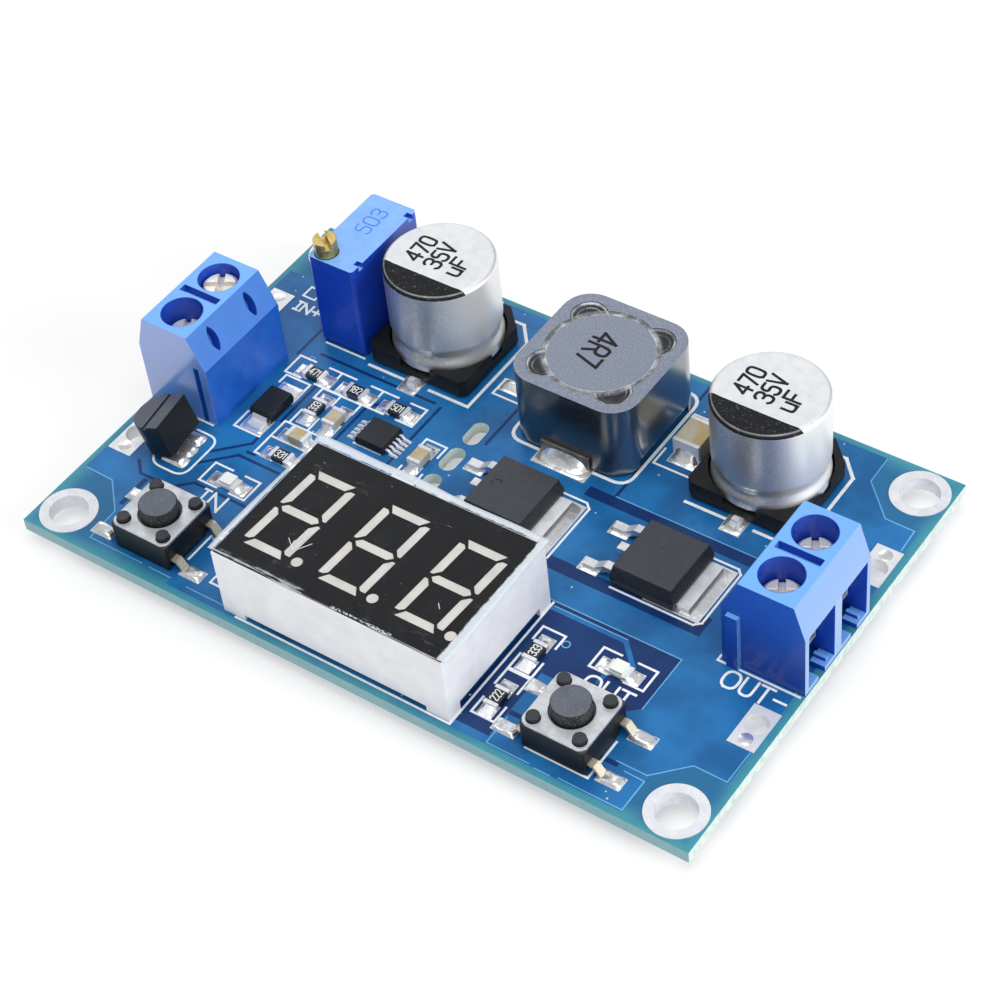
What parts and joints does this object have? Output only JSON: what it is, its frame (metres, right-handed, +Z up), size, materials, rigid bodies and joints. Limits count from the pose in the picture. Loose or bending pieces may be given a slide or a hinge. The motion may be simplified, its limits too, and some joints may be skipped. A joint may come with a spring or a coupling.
{
  "type": "step-up power converter module",
  "caption": "Blue circuit board that raises a DC voltage, with screw terminals, a trimmer, capacitors, an inductor, push switches and a digit voltmeter.",
  "frame": {"origin": "centre of the four mounting holes on the underside of the board", "axes": "+X along the board from the input terminal to the output terminal, +Y from the display towards the capacitors, +Z up out of the component side"},
  "size_m": [0.066, 0.043, 0.0141],
  "materials": {
    "board": "blue solder mask over woven glass board",
    "tin": "bright tin plating",
    "solder": "bright solder",
    "terminal_blue": "satin moulded plastic",
    "contact_metal": "plated brass",
    "clamp_steel": "nickel plated",
    "screw_zinc": "zinc plated",
    "trimmer_blue": "satin moulded plastic",
    "brass": "turned",
    "can_aluminium": "satin drawn aluminium",
    "black_plastic": "moulded",
    "ferrite": "pressed ferrite, matt on top and coated at the sides",
    "enamelled_wire": "enamelled copper",
    "clip_metal": "tinned",
    "chip_ceramic": "fired",
    "resistor_glaze": "black glaze",
    "light_lens": "milky",
    "epoxy": "moulded epoxy",
    "display_white": "moulded",
    "display_black": "printed face",
    "display_milk": "diffusing resin",
    "card": "plain board",
    "clear_film": "clear protective film",
    "switch_lead_metal": "silver plated brass",
    "switch_steel": "brushed",
    "button_plastic": "moulded",
    "dome_steel": "sprung"
  },
  "bodies": {
    "module": {"circuit_board": "board", "mounting_hole_rings": "tin", "wire_pads": "tin", "solder_pads": "tin", "solder_joints": "solder", "in_terminal_housing": "terminal_blue", "in_terminal_contacts": "contact_metal", "out_terminal_housing": "terminal_blue", "out_terminal_contacts": "contact_metal", "trimmer_housing": "trimmer_blue", "trimmer_pins": "tin", "input_capacitor_can": "can_aluminium", "input_capacitor_base": "black_plastic", "output_capacitor_can": "can_aluminium", "output_capacitor_base": "black_plastic", "capacitor_leads": "tin", "inductor_shield": "ferrite", "inductor_core": "ferrite", "inductor_winding": "enamelled_wire", "inductor_terminals": "clip_metal", "chip_capacitors": "chip_ceramic", "chip_resistors": "resistor_glaze", "status_lights": "light_lens", "chip_end_caps": "tin", "power_switch_body": "epoxy", "power_switch_leads": "tin", "rectifier_body": "epoxy", "rectifier_leads": "tin", "regulator_body": "epoxy", "regulator_leads": "tin", "controller_body": "epoxy", "controller_leads": "tin", "input_diode_body": "epoxy", "input_diode_leads": "tin", "display_housing": "display_white", "display_face": "display_black", "display_segments": "display_milk", "display_card": "card", "display_pins": "tin", "display_film": "clear_film", "meter_chip_body": "epoxy", "meter_chip_leads": "tin", "left_switch_base": "black_plastic", "left_switch_cover": "switch_steel", "left_dome": "dome_steel", "right_switch_base": "black_plastic", "right_switch_cover": "switch_steel", "right_dome": "dome_steel", "switch_leads": "switch_lead_metal"},
    "in_front_clamp": {"in_front_clamp": "clamp_steel"},
    "in_front_screw": {"in_front_screw": "screw_zinc"},
    "in_back_clamp": {"in_back_clamp": "clamp_steel"},
    "in_back_screw": {"in_back_screw": "screw_zinc"},
    "out_front_clamp": {"out_front_clamp": "clamp_steel"},
    "out_front_screw": {"out_front_screw": "screw_zinc"},
    "out_back_clamp": {"out_back_clamp": "clamp_steel"},
    "out_back_screw": {"out_back_screw": "screw_zinc"},
    "trimmer_screw": {"trimmer_screw": "brass"},
    "left_button": {"left_button": "button_plastic"},
    "right_button": {"right_button": "button_plastic"}
  },
  "joints": [
    {"name": "in_front_screw_turn", "type": "hinge", "parent": "module", "child": "in_front_screw", "pos_m": [-0.02945, -0.002, 0.008], "axis": [0, 0, 1], "range_deg": [0, 1009]},
    {"name": "in_back_screw_turn", "type": "hinge", "parent": "module", "child": "in_back_screw", "pos_m": [-0.02945, 0.003, 0.008], "axis": [0, 0, 1], "range_deg": [0, 1009]},
    {"name": "out_front_screw_turn", "type": "hinge", "parent": "module", "child": "out_front_screw", "pos_m": [0.02945, -0.002, 0.008], "axis": [0, 0, 1], "range_deg": [0, 1009]},
    {"name": "out_back_screw_turn", "type": "hinge", "parent": "module", "child": "out_back_screw", "pos_m": [0.02945, 0.003, 0.008], "axis": [0, 0, 1], "range_deg": [0, 1009]},
    {"name": "in_front_clamp_lower", "type": "slide", "parent": "module", "child": "in_front_clamp", "axis": [0, 0, -1], "range_m": [0, 0.0014]},
    {"name": "in_back_clamp_lower", "type": "slide", "parent": "module", "child": "in_back_clamp", "axis": [0, 0, -1], "range_m": [0, 0.0014]},
    {"name": "out_front_clamp_lower", "type": "slide", "parent": "module", "child": "out_front_clamp", "axis": [0, 0, -1], "range_m": [0, 0.0014]},
    {"name": "out_back_clamp_lower", "type": "slide", "parent": "module", "child": "out_back_clamp", "axis": [0, 0, -1], "range_m": [0, 0.0014]},
    {"name": "trimmer_turn", "type": "hinge", "parent": "module", "child": "trimmer_screw", "pos_m": [-0.02305, 0.0101, 0.0112], "axis": [0, 0, 1], "continuous": true},
    {"name": "left_button_press", "type": "slide", "parent": "module", "child": "left_button", "axis": [0, 0, -1], "range_m": [0, 0.00025], "stiffness_N_per_m": 6000, "deforming": ["left_dome"]},
    {"name": "right_button_press", "type": "slide", "parent": "module", "child": "right_button", "axis": [0, 0, -1], "range_m": [0, 0.00025], "stiffness_N_per_m": 6000, "deforming": ["right_dome"]}
  ],
  "couplings": [
    {"joint": "in_front_screw_turn", "follows": "in_front_clamp_lower", "rad_per_m": 12566},
    {"joint": "in_back_screw_turn", "follows": "in_back_clamp_lower", "rad_per_m": 12566},
    {"joint": "out_front_screw_turn", "follows": "out_front_clamp_lower", "rad_per_m": 12566},
    {"joint": "out_back_screw_turn", "follows": "out_back_clamp_lower", "rad_per_m": 12566}
  ]
}
